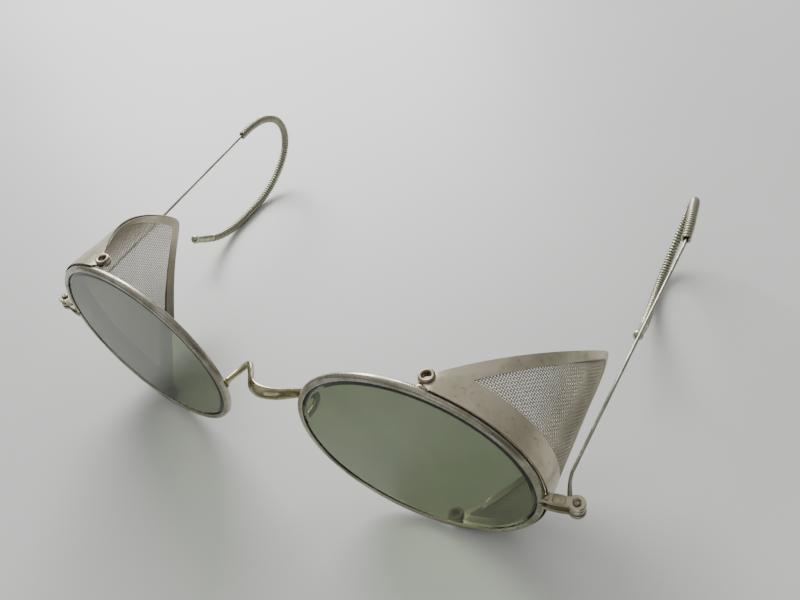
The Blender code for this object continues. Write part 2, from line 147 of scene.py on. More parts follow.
SHEET_STEP = 0.7 * MM             # between columns of the sheet's mesh
CLOTH_LEVEL = -0.13 * MM          # middle of the woven cloth
CLOTH_FRONT = 2.3 * MM
CLOTH_MARGIN = 0.9 * MM           # the cloth stops this far inside the sheet's slanting edges
PITCH = 0.43 * MM                 # from one wire of the cloth to the next
STRAND = 0.107 * MM               # radius of one wire of the cloth
ALONG_SLANT = 1.41                # a margin square to a 45-degree edge, measured along the sheet

EYELET_BORE = 0.7 * MM
EYELET_BARREL = 0.84 * MM
EYELET_FLANGE = 1.4 * MM
EYELET_ROLL = 0.38 * MM           # height of the roll outside the ear
EYELET_TURN = 0.22 * MM           # and of the flatter one under the bracket
LUG_THICKNESS = 0.35 * MM
LUG_GAP = 0.06 * MM
EAR_HOLE_PLAY = 0.15 * MM         # round the eyelet's barrel, in the ear
LUG_HOLE_PLAY = 0.1 * MM          # and in the bracket

WIRE_RADIUS = 0.31 * MM
CORE_RADIUS = 0.3 * MM
COIL_OUTER = 1.0 * MM
COIL_PITCH = 0.7 * MM
COIL_HALF_HIGH = 0.25 * MM        # half axes of the coiled wire's section
COIL_HALF_LONG = 0.315 * MM
COIL_START = 0.9 * MM
COIL_WOBBLE = 0.02 * MM
TIP_LENGTH = 7.0 * MM

# Routes as (x, back from the lens line, above the lens centres), in millimetres.
WIRE_ROUTE = [(58.9, 3.3, -0.7), (57.9, 5.3, -0.6), (57.2, 7.6, -0.4), (57.1, 11.0, -0.2),
              (57.05, 36.0, 1.2), (57.0, 62.7, 2.6)]
HOOK_ROUTE = {
    "left": [(57.0, 62.7, 2.6), (56.3, 67.7, 2.8), (55.3, 72.9, 2.0), (53.9, 79.0, -0.8),
             (52.5, 83.2, -4.8), (51.2, 84.9, -9.4), (50.2, 83.0, -14.0), (49.7, 78.4, -17.6),
             (49.8, 72.2, -19.3), (50.6, 65.6, -18.9), (51.6, 59.4, -16.7), (52.7, 53.4, -13.6),
             (53.5, 47.6, -10.3)],
    "right": [(57.0, 62.7, 2.6), (57.1, 68.2, 2.6), (57.3, 73.6, 1.2), (57.7, 77.9, -2.4),
              (58.1, 79.2, -7.5), (58.4, 77.0, -12.6), (58.6, 71.9, -16.6), (58.7, 65.3, -18.9),
              (58.7, 58.4, -19.3), (58.7, 52.0, -19.1), (58.7, 46.4, -17.6), (58.7, 41.8, -14.9),
              (58.7, 38.3, -12.1)],
}
BRIDGE_ROUTE = [(9.85, -1.4, -0.15), (9.85, -0.68, -0.2), (9.5, 2.4, -0.6), (8.45, 4.6, -0.3),
                (6.2, 2.75, 0.5), (3.0, -0.3, 2.0)]
BRIDGE_CREST = (0.0, -1.35, 2.6)

# ---- camera --------------------------------------------------------------------------------------
CAMERA_OFFSET = (90.41 * MM, -61.16 * MM, 119.19 * MM)    # from midway between the lens centres
CAMERA_AZIMUTH = math.radians(40.99)
CAMERA_ELEVATION = math.radians(44.44)
CAMERA_ROLL = math.radians(-13.74)
CAMERA_LENS = 38.26

# ---- surroundings --------------------------------------------------------------------------------
FLOOR_DIM = (0.655, 0.67, 0.65)
FLOOR_PALE = (0.685, 0.70, 0.68)
FLOOR_HALF = 2.5
FLOOR_LEVEL = -0.02 * MM          # just below the eyelets and hooks that rest on it
CEILING_LIGHT = (1.0, 1.0, 0.99)
WALL_LIGHT = (0.30, 0.30, 0.295)
DARK_LIGHT = (0.10, 0.10, 0.11)
DARK_SIDE = (0.6, -0.77, 0.2)     # direction of the room's dark end
ROOM_STRENGTH = 0.66


# ---- places --------------------------------------------------------------------------------------
def middle_of(node):
    low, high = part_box(node)
    return (low + high) / 2


LENS_CENTRE = {name: middle_of(f"{name}_lens") for name in SIDES}
LENS_LINE = LENS_CENTRE["left"].y
CENTRE_HEIGHT = LENS_CENTRE["left"].z


def lens_matrix(side_name):
    """From a lens's own frame (X towards the temple, Y back, Z up) to the row frame."""
    flip = Matrix.Diagonal((SIDES[side_name], 1, 1, 1))
    return Matrix.Translation(LENS_CENTRE[side_name]) @ flip @ Matrix.Rotation(LENS_SWEEP, 4, "Z")


def moved(points, matrix):
    spin = np.array(matrix.to_3x3())
    return np.asarray(points, float) @ spin.T + np.array(matrix.translation)


def world(route, side=1):
    return np.array([(side * x * MM, y * MM + LENS_LINE, z * MM + CENTRE_HEIGHT) for x, y, z in route])


# ---- mesh helpers --------------------------------------------------------------------------------
def skin(rings, close_path=False):
    """Points and faces of a closed surface through equal rings of points."""
    rings = np.asarray(rings, float)
    count, sides = rings.shape[:2]
    rows = np.arange(count if close_path else count - 1)
    here = rows[:, None] * sides
    there = ((rows[:, None] + 1) % count) * sides
    j = np.arange(sides)[None, :]
    k = (j + 1) % sides
    faces = np.stack([here + j, here + k, there + k, there + j], axis=-1).reshape(-1, 4).tolist()
    if not close_path:
        faces.append(list(range(sides)))
        faces.append(list(range((count - 1) * sides, count * sides)))
    return rings.reshape(-1, 3), faces


def merged(shapes):
    points = []
    faces = []
    start = 0
    for shape_points, shape_faces in shapes:
        points.append(shape_points)
        faces.extend([start + i for i in face] for face in shape_faces)
        start += len(shape_points)
    return np.vstack(points), faces


def make_object(name, shapes, material, sharp):
    """One smooth-shaded object from closed shapes, with every face pointing out."""
    points, faces = merged(shapes)
    mesh = bpy.data.meshes.new(name)
    mesh.from_pydata(points.tolist(), [], faces)
    bm = bmesh.new()
    bm.from_mesh(mesh)
    bmesh.ops.recalc_face_normals(bm, faces=bm.faces)
    bm.to_mesh(mesh)
    bm.free()
    mesh.shade_smooth()
    mesh.set_sharp_from_angle(angle=math.radians(sharp))
    mesh.materials.append(material)
    obj = bpy.data.objects.new(name, mesh)
    bpy.context.scene.collection.objects.link(obj)
    return obj


def make_piece(name, shapes, material, nodes, sharp=35):
    """An object that stands for CAD nodes, rides on their body and takes the material it is given, with that
    material's slot.
    """
    obj = make_object(name, shapes, material, sharp)
    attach(obj, body_of(frame["nodes"][nodes[0]])[0])
    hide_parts(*nodes)
    return obj


def soften(obj, width):
    """A narrow bevel along the sheet's cut edges."""
    bevel = obj.modifiers.new("soften", "BEVEL")
    bevel.width = width
    bevel.segments = 1
    bevel.limit_method = "ANGLE"
    bevel.angle_limit = math.radians(50)
    return obj


def carve(obj, cutter_shapes):
    """Cut shapes out of an object for good."""
    cutter = make_object(f"{obj.name}_cutter", cutter_shapes, obj.data.materials[0], 30)
    modifier = obj.modifiers.new("carve", "BOOLEAN")
    modifier.operation = "DIFFERENCE"
    modifier.solver = "EXACT"
    modifier.object = cutter
    graph = bpy.context.evaluated_depsgraph_get()
    cut = bpy.data.meshes.new_from_object(obj.evaluated_get(graph))
    obj.modifiers.remove(modifier)
    obj.data = cut
    bpy.data.objects.remove(cutter)
    return obj


def circle(radius, steps):
    angles = np.arange(steps) * math.tau / steps
    return np.stack([radius * np.cos(angles), radius * np.sin(angles)], axis=1)


def turned(profile, steps=40, close=False):
    """Spin a profile of (radius, height) points about Z."""
    unit_ring = circle(1.0, steps)
    rings = [np.column_stack([unit_ring * max(r, 1e-6), np.full(steps, z)]) for r, z in profile]
    return skin(rings, close_path=close)


def shifted(shape, offset, mirror_z=False):
    points, faces = shape
    points = points + np.array(offset)
    if mirror_z:
        points = points * np.array((1, 1, -1))
    return points, faces


def placed(shape, matrix):
    return moved(shape[0], matrix), shape[1]


def path_length(path):
    return float(np.linalg.norm(np.diff(path, axis=0), axis=1).sum())


def stretch(path, start, end, steps):
    """The part of a path between two lengths along it, as evenly spread points."""
    lengths = np.concatenate([[0.0], np.cumsum(np.linalg.norm(np.diff(path, axis=0), axis=1))])
    wanted = np.linspace(start, end, steps)
    return np.stack([np.interp(wanted, lengths, path[:, k]) for k in range(3)], axis=1)


def smooth_path(route, steps):
    """Points spread evenly along a smooth curve through the route's points."""
    knots = np.asarray(route, float)
    knots = np.vstack([2 * knots[0] - knots[1], knots, 2 * knots[-1] - knots[-2]])
    t = (np.arange(30) / 30)[:, None]
    runs = []
    for a, b, c, d in zip(knots, knots[1:], knots[2:], knots[3:]):
        runs.append(0.5 * (2 * b + (c - a) * t + (2 * a - 5 * b + 4 * c - d) * t ** 2
                           + (3 * b - a - 3 * c + d) * t ** 3))
    dense = np.vstack(runs + [knots[-2:-1]])
    return stretch(dense, 0.0, path_length(dense), steps)


def unit(vectors):
    return vectors / np.linalg.norm(vectors, axis=-1, keepdims=True)


def path_frames(path, reference=None):
    """Two unit vectors across each point of a path: towards a reference, or turning least."""
    ahead = np.vstack([path[1:], path[-1:]])
    behind = np.vstack([path[:1], path[:-1]])
    tangents = unit(ahead - behind)
    side = np.array(Vector(tangents[0]).orthogonal()) if reference is None else np.array(reference)
    sides = []
    for tangent in tangents:
        across = side if reference is None else np.array(reference)
        side = unit(across - tangent * (across @ tangent))
        sides.append(side)
    sides = np.array(sides)
    return sides, np.cross(tangents, sides)


def tube_rings(path, wide, thick=None, sides=16, reference=None):
    """Oval rings round a path; wide is the half width towards the first frame vector."""
    first, second = path_frames(path, reference)
    wide = np.broadcast_to(wide, len(path))
    thick = wide if thick is None else np.broadcast_to(thick, len(path))
    angles = np.arange(sides) * math.tau / sides
    return (path[:, None, :]
            + np.cos(angles)[None, :, None] * (wide[:, None] * first)[:, None, :]
            + np.sin(angles)[None, :, None] * (thick[:, None] * second)[:, None, :])


def blob(centre, radii, seed):
    """A small rounded puddle of solder."""
    rings = []
    for latitude in np.linspace(-80, 80, 9):
        ring = []
        for longitude in range(0, 360, 20):
            a, b = math.radians(latitude), math.radians(longitude)
            direction = Vector((math.cos(a) * math.cos(b), math.cos(a) * math.sin(b), math.sin(a)))
            swell = 1 + 0.16 * noise.noise(direction * 1.7 + Vector((seed, 2 * seed, 0)))
            ring.append([direction[k] * radii[k] * swell + centre[k] for k in range(3)])
        rings.append(ring)
    return skin(rings)


# ---- materials -----------------------------------------------------------------------------------
def new_material(name, slot):
    material = bpy.data.materials.new(name)
    material.use_nodes = True
    material["slot"] = slot
    tree = material.node_tree
    return material, tree, tree.nodes["Principled BSDF"]


def add(tree, kind, settings=None, **inputs):
    """Add a node: settings are its own properties, and keywords are its inputs."""
    node = tree.nodes.new(kind)
    for key, value in (settings or {}).items():
        setattr(node, key, value)
    for key, value in inputs.items():
        socket = node.inputs[key]
        if isinstance(value, bpy.types.NodeSocket):
            tree.links.new(value, socket)
        else:
            socket.default_value = value
    return node


def object_coords(tree, stretch_by=(1, 1, 1)):
    coords = add(tree, "ShaderNodeTexCoord").outputs["Object"]
    return add(tree, "ShaderNodeMapping", Vector=coords, Scale=stretch_by).outputs["Vector"]


def noise_value(tree, coords, scale, detail=3.0, rough=0.55):
    return add(tree, "ShaderNodeTexNoise", Vector=coords, Scale=scale, Detail=detail,
               Roughness=rough).outputs["Fac"]


def remap(tree, value, low, high, to_low=0.0, to_high=1.0):
    node = add(tree, "ShaderNodeMapRange", {"interpolation_type": "SMOOTHSTEP"}, Value=value)
    node.inputs["From Min"].default_value = low
    node.inputs["From Max"].default_value = high
    node.inputs["To Min"].default_value = to_low
    node.inputs["To Max"].default_value = to_high
    return node.outputs["Result"]


def mix_colour(tree, share, first, second):
    node = add(tree, "ShaderNodeMix", {"data_type": "RGBA"})
    for socket, value in ((node.inputs[0], share), (node.inputs[6], first), (node.inputs[7], second)):
        if isinstance(value, bpy.types.NodeSocket):
            tree.links.new(value, socket)
        elif isinstance(value, tuple):
            socket.default_value = (*value, 1.0)
        else:
            socket.default_value = value
    return node.outputs[2]


def maths(tree, operation, first, second):
    node = add(tree, "ShaderNodeMath", {"operation": operation, "use_clamp": True})
    for socket, value in zip(node.inputs, (first, second)):
        if isinstance(value, bpy.types.NodeSocket):
            tree.links.new(value, socket)
        else:
            socket.default_value = value
    return node.outputs[0]


def bump(tree, shader, height, strength, distance):
    node = add(tree, "ShaderNodeBump", Strength=strength, Distance=distance, Height=height)
    tree.links.new(node.outputs["Normal"], shader.inputs["Normal"])


def worn_metal(slot, fresh, dull, stain_and_shade, rough, patch=230.0, grain=(1, 1, 1), patina_and_shade_reach=0.9 * MM,
               painted_low_shade=0.0):
    """Handled metal: patches of dulling, patina and painted shade in the corners, painted shade low down,
    rubbed edges, scratches.
    """
    material, tree, shader = new_material(f"{slot}_metal", slot)
    coords = object_coords(tree)
    patches = remap(tree, noise_value(tree, coords, patch, 5.0, 0.6), 0.36, 0.66)
    specks = remap(tree, noise_value(tree, coords, patch * 7, 3.0), 0.56, 0.74)
    # Ambient occlusion darkens hollows and the rim's inner lip towards the stain colour: partly patina in
    # hollows, partly painted shade.
    corners = add(tree, "ShaderNodeAmbientOcclusion", {"samples": 6}, Distance=patina_and_shade_reach).outputs["AO"]
    hidden = remap(tree, corners, 0.75, 0.25)
    edges = remap(tree, add(tree, "ShaderNodeNewGeometry").outputs["Pointiness"], 0.52, 0.6)
    colour = mix_colour(tree, patches, fresh, dull)
    colour = mix_colour(tree, maths(tree, "MULTIPLY", specks, 0.35), colour, stain_and_shade)
    colour = mix_colour(tree, maths(tree, "MULTIPLY", hidden, 0.75), colour, stain_and_shade)
    # Painted shade: parts low down, below about 13 mm, are darkened towards the stain colour.
    if painted_low_shade:
        height = add(tree, "ShaderNodeSeparateXYZ", Vector=object_coords(tree)).outputs["Z"]
        low_down = remap(tree, height, 13 * MM, 5 * MM)
        colour = mix_colour(tree, maths(tree, "MULTIPLY", low_down, painted_low_shade), colour, stain_and_shade)
    rubbed = tuple(min(1.0, 1.12 * c + 0.03) for c in fresh)
    colour = mix_colour(tree, maths(tree, "MULTIPLY", edges, 0.6), colour, rubbed)
    tree.links.new(colour, shader.inputs["Base Color"])
    shader.inputs["Metallic"].default_value = 1.0
    fine = noise_value(tree, object_coords(tree, grain), 1500.0, 4.0)
    low, high = rough
    base = remap(tree, patches, 0.0, 1.0, low, high)
    uneven = remap(tree, fine, 0.3, 0.7, -0.05, 0.08)
    tree.links.new(maths(tree, "ADD", base, uneven), shader.inputs["Roughness"])
    bump(tree, shader, fine, 0.25, 0.02 * MM)
    return material


def smoked_glass(slot):
    """Green-grey glass with a faint uneven film; lamps shine through it with its tint."""
    material, tree, shader = new_material(f"{slot}_lens", slot)
    coords = object_coords(tree)
    film = remap(tree, noise_value(tree, coords, 110.0, 4.0, 0.6), 0.35, 0.7)
    smears = remap(tree, noise_value(tree, object_coords(tree, (1, 1, 3)), 420.0, 5.0, 0.65), 0.5, 0.8)
    tint = mix_colour(tree, film, GLASS_TINT, tuple(0.88 * c for c in GLASS_TINT))
    tint = mix_colour(tree, maths(tree, "MULTIPLY", smears, 0.5), tint, tuple(0.6 * c for c in GLASS_TINT))
    tree.links.new(tint, shader.inputs["Base Color"])
    shader.inputs["Transmission Weight"].default_value = 1.0
    shader.inputs["IOR"].default_value = 1.52
    marks = maths(tree, "MULTIPLY", smears, 0.05)
    tree.links.new(maths(tree, "ADD", marks, 0.015), shader.inputs["Roughness"])
    clear = add(tree, "ShaderNodeBsdfTransparent", Color=(*GLASS_SHADE, 1.0))
    shadow = add(tree, "ShaderNodeLightPath").outputs["Is Shadow Ray"]
    both = add(tree, "ShaderNodeMixShader")
    tree.links.new(shadow, both.inputs[0])
    tree.links.new(shader.outputs[0], both.inputs[1])
    tree.links.new(clear.outputs[0], both.inputs[2])
    tree.links.new(both.outputs[0], tree.nodes["Material Output"].inputs["Surface"])
    return material


GLASS_TINT = (0.15, 0.18, 0.105)
GLASS_SHADE = (0.5, 0.54, 0.44)
# On the plate, sheet and cloth, the last keyword sets how strongly their lower parts are darkened as painted
# shade; the reach keyword sets how far the patina and painted shade in hollows spread.
METALS = {
    "rim": worn_metal("nickel_silver", (0.43, 0.405, 0.335), (0.27, 0.25, 0.195), (0.08, 0.06, 0.04),
                      (0.22, 0.40)),
    "bridge": worn_metal("nickel_silver", (0.44, 0.41, 0.245), (0.27, 0.25, 0.145), (0.06, 0.045, 0.025),
                         (0.16, 0.32)),
    "plate": worn_metal("nickel_silver", (0.42, 0.39, 0.275), (0.27, 0.25, 0.16), (0.08, 0.06, 0.035),
                        (0.24, 0.42), painted_low_shade=0.9),
    "wire": worn_metal("nickel_silver", (0.38, 0.36, 0.30), (0.25, 0.235, 0.19), (0.10, 0.08, 0.05),
                       (0.26, 0.42), patch=160.0),
    "sheet": worn_metal("satin_sheet", (0.55, 0.50, 0.38), (0.42, 0.38, 0.275), (0.11, 0.10, 0.085),
                        (0.32, 0.44), patch=120.0, grain=(0.25, 1.6, 1.6), painted_low_shade=0.95),
    "cloth": worn_metal("wire_cloth", (0.48, 0.44, 0.35), (0.29, 0.265, 0.205), (0.07, 0.06, 0.04),
                        (0.36, 0.5), patch=140.0, patina_and_shade_reach=0.3 * MM, painted_low_shade=0.6),
    "coil": worn_metal("coiled_cable", (0.40, 0.39, 0.29), (0.24, 0.23, 0.16), (0.035, 0.03, 0.018),
                       (0.26, 0.42), patina_and_shade_reach=0.45 * MM),
    "tip": worn_metal("coiled_cable", (0.50, 0.52, 0.36), (0.33, 0.34, 0.22), (0.09, 0.08, 0.045),
                      (0.2, 0.36)),
    "eyelet": worn_metal("rolled_eyelet", (0.31, 0.26, 0.18), (0.18, 0.145, 0.095), (0.05, 0.035, 0.02),
                         (0.28, 0.48)),
    "screw": worn_metal("dark_screw", (0.26, 0.23, 0.18), (0.14, 0.12, 0.09), (0.045, 0.035, 0.022),
                        (0.32, 0.5)),
}
GLASS = smoked_glass("smoked_glass")


# ---- rim and lens --------------------------------------------------------------------------------
def oval(angles, outset):
    """Points outside the edge of the glass, in the lens plane."""
    a, b = LENS_WIDTH / 2, LENS_HEIGHT / 2
    flat = np.stack([a * np.cos(angles), np.zeros_like(angles), b * np.sin(angles)], axis=1)
    normal = unit(np.stack([np.cos(angles) / a, np.zeros_like(angles), np.sin(angles) / b], axis=1))
    return flat + np.asarray(outset)[..., None] * normal


def rim_section():
    """Rim section as (outwards, back) points: a round outside and two rounded lips inside."""
    points = []
    for t in np.radians(np.arange(-90, 91, 15)):
        points.append(((RIM_OUT - RIM_BULGE) * math.cos(t) + RIM_BULGE, RIM_HALF_DEPTH * math.sin(t)))
    lip_middle = RIM_HALF_DEPTH - LIP_RADIUS
    for t in np.radians(np.arange(90, 271, 30)):
        points.append((LIP_RADIUS * math.cos(t) - RIM_IN + LIP_RADIUS, lip_middle + LIP_RADIUS * math.sin(t)))
    points.append((GROOVE_DEPTH, GROOVE_HALF_WIDTH))
    points.append((GROOVE_DEPTH, -GROOVE_HALF_WIDTH))
    for t in np.radians(np.arange(90, 271, 30)):
        points.append((LIP_RADIUS * math.cos(t) - RIM_IN + LIP_RADIUS,
                       -lip_middle + LIP_RADIUS * math.sin(t)))
    return points


def make_rim(side_name):
    half_split = SPLIT_WIDTH / LENS_HEIGHT
    start = math.asin(SPLIT_HEIGHT / (LENS_HEIGHT / 2)) + half_split
    angles = np.linspace(start, start + math.tau - 2 * half_split, 181)
    seed = 3.0 * SIDES[side_name]
    stray = np.array([RIM_WANDER * noise.noise(Vector((2 * math.cos(a), 2 * math.sin(a), seed)))
                      for a in angles])
    columns = [oval(angles, out + stray) + np.array((0, back, 0)) for out, back in rim_section()]
    rings = np.stack(columns, axis=1)
    shapes = [placed(skin(rings), lens_matrix(side_name))]
    return make_piece(f"{side_name}_eyewire", shapes, METALS["rim"], [f"{side_name}_rim"], sharp=50)


def make_lens(side_name):
    """A thin flat glass with a ground edge inside the rim's groove."""
    angles = np.linspace(0, math.tau, 120, endpoint=False)
    levels = [(-LENS_BEVEL, -LENS_HALF_THICKNESS), (0, -LENS_HALF_EDGE),
              (0, LENS_HALF_EDGE), (-LENS_BEVEL, LENS_HALF_THICKNESS)]
    rings = [oval(angles, out - LENS_PLAY) + np.array((0, back, 0)) for out, back in levels]
    shapes = [placed(skin(rings), lens_matrix(side_name))]
    return make_piece(f"{side_name}_glass", shapes, GLASS, [f"{side_name}_lens"], sharp=12)


# ---- end piece and hinge -------------------------------------------------------------------------
def strap_outline(eye_radius, half_width, length, direction, count=72):
    """A round eye about the origin, and a strap from it that runs towards `direction`."""
    points = []
    for i in range(count):
        angle = math.tau * i / count
        turn = math.remainder(angle - direction, math.tau)
        radius = eye_radius
        if math.cos(turn) > 0:
            strap = min(half_width / max(abs(math.sin(turn)), 1e-6), length / math.cos(turn))
            radius = max(radius, strap)
        points.append((radius * math.cos(angle), radius * math.sin(angle)))
    return np.array(points)


def plate(outline, hole_radius, low, high):
    """A flat plate with a round hole about Z and slightly rounded rims."""
    hole = circle(hole_radius, len(outline))
    inset = 1 - PLATE_EASE / np.linalg.norm(outline, axis=1, keepdims=True)
    rings = [(outline * inset, low), (outline, low + PLATE_EASE), (outline, high - PLATE_EASE),
             (outline * inset, high), (hole, high), (hole, low)]
    return skin([np.column_stack([loop, np.full(len(loop), z)]) for loop, z in rings], close_path=True)


def closing_block(low, high):
    """A small pad with rounded corners, drawn up against the strap where the rim closes."""
    angles = np.arange(48) * math.tau / 48
    rounded = [np.sign(np.cos(angles)) * np.abs(np.cos(angles)) ** 0.4 * BLOCK_HALF_LONG,
               np.sign(np.sin(angles)) * np.abs(np.sin(angles)) ** 0.4 * BLOCK_HALF_WIDE]
    outline = np.stack(rounded, axis=1)
    levels = [(0.86, low), (1.0, low + PLATE_EASE), (1.0, high - PLATE_EASE),
              (0.95, high - 0.3 * PLATE_EASE), (0.84, high)]
    return skin([np.column_stack([outline * share, np.full(len(outline), z)]) for share, z in levels])


def make_end_plate(side_name, level, low):
    """A strap soldered to the rim, with the hinge pin's hole."""
    length = PIN_X - LENS_WIDTH / 2 - RIM_OUT + SOLDER_BITE
    outline = strap_outline(EYE_RADIUS, PLATE_HALF_WIDTH, length, math.pi + PLATE_LEAN)
    strap = plate(outline, SCREW_RADIUS + SCREW_PLAY, low, low + PLATE_THICKNESS)
    joint_x = LENS_WIDTH / 2 + RIM_OUT - PIN_X + 0.15 * MM
    puddle = blob((joint_x, -PIN_Y, low + PLATE_THICKNESS / 2), LEAF_SOLDER, 1.3 + low / MM)
    rise = BLOCK_RISE if level == "upper" else -BLOCK_RISE
    block_low, block_high = sorted((low + 0.1 * MM + rise, low + PLATE_THICKNESS - 0.1 * MM + rise))
    lean = Matrix.Rotation(PLATE_LEAN, 4, "Z")
    block = placed(shifted(closing_block(block_low, block_high), (BLOCK_PLACE, 0, 0)), lean)
    shapes = [placed(shifted(shape, (PIN_X, PIN_Y, 0)), lens_matrix(side_name))
              for shape in (strap, puddle, block)]
    return make_piece(f"{side_name}_{level}_hinge_leaf", shapes, METALS["plate"],
                      [f"{side_name}_{level}_end_plate"])


def make_screw(side_name, foot, head_base):
    """A domed, slotted screw that holds the hinge together."""
    head = SCREW_HEAD_RADIUS
    rise = SCREW_HEAD_HEIGHT
    top = head_base + rise
    profile = [(0.06 * MM, foot - 0.1 * MM), (SCREW_RADIUS * 0.8, foot - 0.08 * MM),
               (SCREW_RADIUS, foot + 0.1 * MM), (SCREW_RADIUS, head_base), (head * 0.96, head_base),
               (head, head_base + 0.2 * rise), (head, top - 0.45 * rise), (head * 0.9, top - 0.2 * rise),
               (head * 0.6, top - 0.05 * rise), (0.06 * MM, top)]
    screw = shifted(turned(profile), (PIN_X, PIN_Y, 0))
    obj = make_piece(f"{side_name}_slotted_screw", [placed(screw, lens_matrix(side_name))], METALS["screw"],
                     [f"{side_name}_hinge_screw"], sharp=40)
    turn = Matrix.Rotation(math.radians(35), 3, "Z")
    half = (2 * head, 0.13 * MM)
    corners = [Vector((sx * half[0], sy * half[1], 0)) for sx, sy in ((-1, -1), (1, -1), (1, 1), (-1, 1))]
    rings = [[tuple(turn @ c + Vector((PIN_X, PIN_Y, z))) for c in corners]
             for z in (top - 0.5 * rise, top + rise)]
    return carve(obj, [placed(skin(rings), lens_matrix(side_name))])


# ---- shield --------------------------------------------------------------------------------------
def section_table():
    """Arc length against angle along the shield's oval section, from the temple side up."""
    angles = np.linspace(0, CREASE_ANGLE, 400)
    steps = np.hypot(np.diff(SHIELD_A * np.cos(angles)), np.diff(SHIELD_B * np.sin(angles)))
    return np.concatenate([[0], np.cumsum(steps)]), angles


ARC, ARC_ANGLES = section_table()
CREASE_ARC = float(ARC[-1])
PIVOT_ARC = CREASE_ARC + SHIELD_A * math.cos(CREASE_ANGLE) - PIVOT_X
EAR_HEIGHT = SHIELD_B * math.sin(CREASE_ANGLE)


def sheet_points(arcs, backs, offsets):
    """Points of the curved sheet: round its section, back along it and outwards."""
    arcs, backs, offsets = (np.asarray(v, float) for v in np.broadcast_arrays(arcs, backs, offsets))
    run = np.abs(arcs)
    angle = np.interp(run, ARC, ARC_ANGLES)
    across, up = np.cos(angle) / SHIELD_A, np.sin(angle) / SHIELD_B
    size = np.hypot(across, up)
    level = np.clip((run - CREASE_ARC + CREASE_HALF) / (2 * CREASE_HALF), 0, 1)
    normal_x = across / size * (1 - level)
    normal_z = up / size * (1 - level) + level
    x = np.where(run > CREASE_ARC, PIVOT_X + PIVOT_ARC - run, SHIELD_A * np.cos(angle))
    z = np.where(run > CREASE_ARC, EAR_HEIGHT, SHIELD_B * np.sin(angle))
    upwards = np.sign(arcs + 1e-12)
    return np.stack([x + offsets * normal_x, backs, upwards * (z + offsets * normal_z)], axis=-1)


def slant(arc, reach, rounding, slope=1.0):
    """Two slanting edges, 45 degrees at slope 1, that meet in a rounded point."""
    return reach + rounding - np.hypot(slope * np.asarray(arc), rounding)


def sheet_edges(arc):
    """Front and back edge of the sheet at one place round its section."""
    run = abs(arc)
    if run >= PIVOT_ARC:
        half = math.sqrt(max(EAR_RADIUS ** 2 - (run - PIVOT_ARC) ** 2, 0))
        return PIVOT_Y - half, PIVOT_Y + half
    to_ear = min(max((run - CREASE_ARC) / (PIVOT_ARC - CREASE_ARC), 0.0), 1.0)
    front = SHIELD_FRONT + (PIVOT_Y - EAR_RADIUS - SHIELD_FRONT) * to_ear ** 2
    return front, max(float(slant(run, SHIELD_REACH, POINT_ROUNDING)), PIVOT_Y + EAR_RADIUS)


def closed_panel(strips, inner, outer):
    """A solid sheet from strips of columns, each column given as (arc, list of back values)."""
    keys = {}
    points = []

    def corner(arc, back):
        key = (round(arc / (0.001 * MM)), round(back / (0.001 * MM)))
        if key not in keys:
            keys[key] = len(points)
            points.append((arc, back))
        return keys[key]

    quads = []
    for columns in strips:
        for (arc_a, backs_a), (arc_b, backs_b) in zip(columns, columns[1:]):
            for i in range(len(backs_a) - 1):
                quad = [corner(arc_a, backs_a[i]), corner(arc_a, backs_a[i + 1]),
                        corner(arc_b, backs_b[i + 1]), corner(arc_b, backs_b[i])]
                face = [v for n, v in enumerate(quad) if v not in quad[:n]]
                if len(face) > 2:
                    quads.append(face)
    count = len(points)
    flat = np.array(points)
    both = np.vstack([sheet_points(flat[:, 0], flat[:, 1], offset) for offset in (outer, inner)])
    used = {}
    for face in quads:
        for a, b in zip(face, face[1:] + face[:1]):
            used[(a, b)] = True
    faces = quads + [[v + count for v in reversed(face)] for face in quads]
    faces += [[b, a, a + count, b + count] for a, b in used if (b, a) not in used]
    return both, faces


def window_half_arc():
    drop = WINDOW_REACH + WINDOW_ROUNDING - WINDOW_FRONT
    return math.sqrt(drop ** 2 - WINDOW_ROUNDING ** 2) / WINDOW_SLOPE


def window_back(arc, corner):
    """The window's slanting edge, which meets its front edge in the corner."""
    if abs(arc) > corner - 0.01 * MM:
        return WINDOW_FRONT
    return float(slant(arc, WINDOW_REACH, WINDOW_ROUNDING, WINDOW_SLOPE))


def spread(end):
    """Places round the section, closer at its middle, mirrored about it."""
    half = list(np.linspace(0, end, max(2, round(end / SHEET_STEP)))) + [0.3 * MM, 0.6 * MM]
    half = sorted(set(round(float(a), 7) for a in half if a <= end))
    return [-a for a in reversed(half)] + half[1:]


def graded(low, high, rows):
    return [low + (high - low) * i / rows for i in range(rows + 1)]


